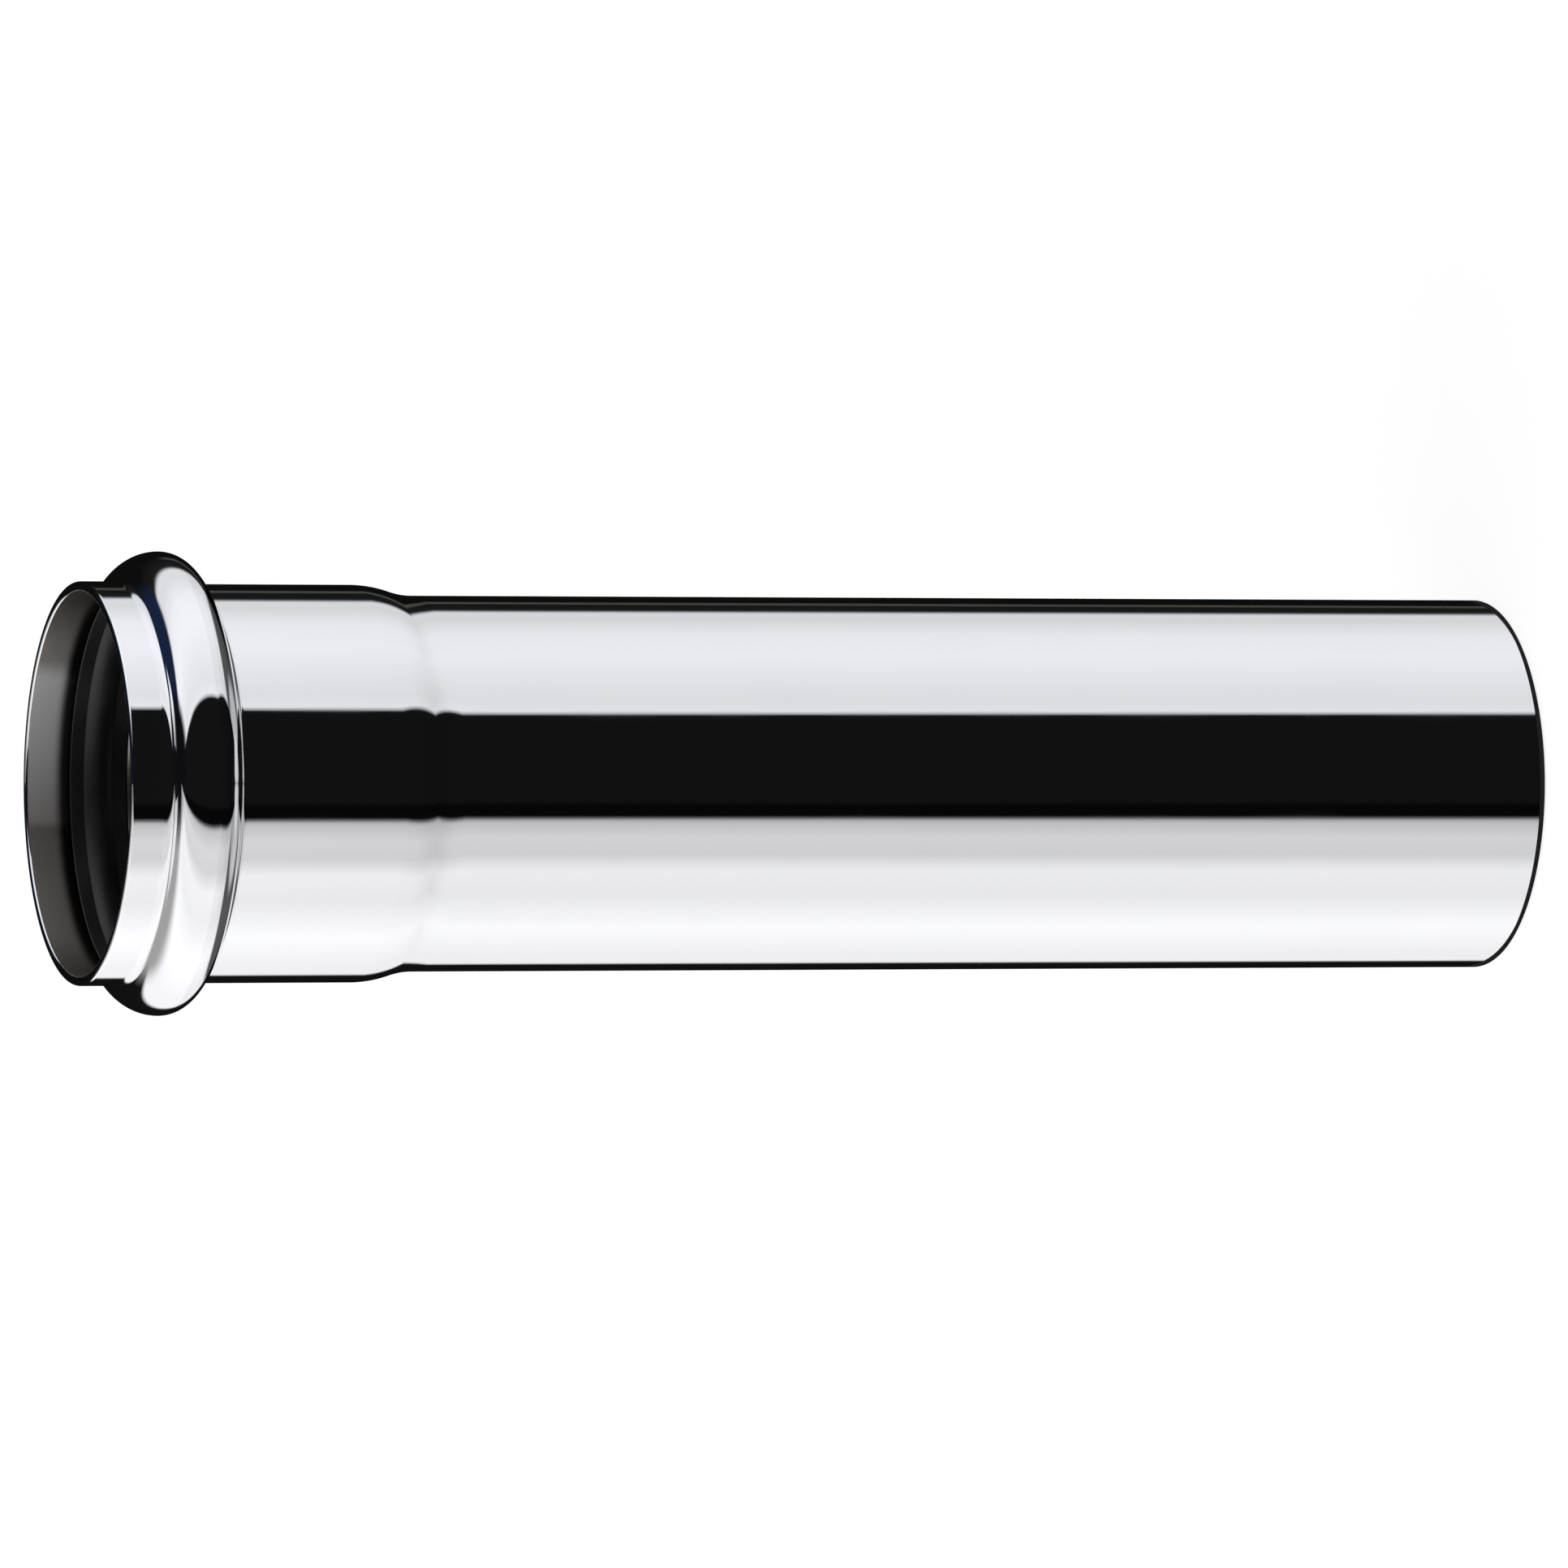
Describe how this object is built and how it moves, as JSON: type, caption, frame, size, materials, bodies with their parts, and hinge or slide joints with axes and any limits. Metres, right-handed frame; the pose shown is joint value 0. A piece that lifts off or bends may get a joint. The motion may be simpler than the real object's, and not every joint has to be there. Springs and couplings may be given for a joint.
{
  "type": "extension pipe",
  "caption": "Straight chrome-plated extension pipe for a basin waste, with a plain end below and a beaded push-fit socket above that holds a rubber seal ring.",
  "frame": {"origin": "centre of the plain end's face, on which the pipe stands", "axes": "+Z along the pipe's axis, from the plain end up to the socket's mouth; X and Y are any two directions across it"},
  "size_m": [0.0392, 0.0392, 0.127],
  "materials": {
    "chrome_plate": "mirror-bright chrome plate on a drawn brass tube",
    "seal_rubber": "moulded black rubber, satin"
  },
  "bodies": {
    "root": {"pipe": "chrome_plate", "seal_ring": "seal_rubber"}
  },
  "joints": []
}
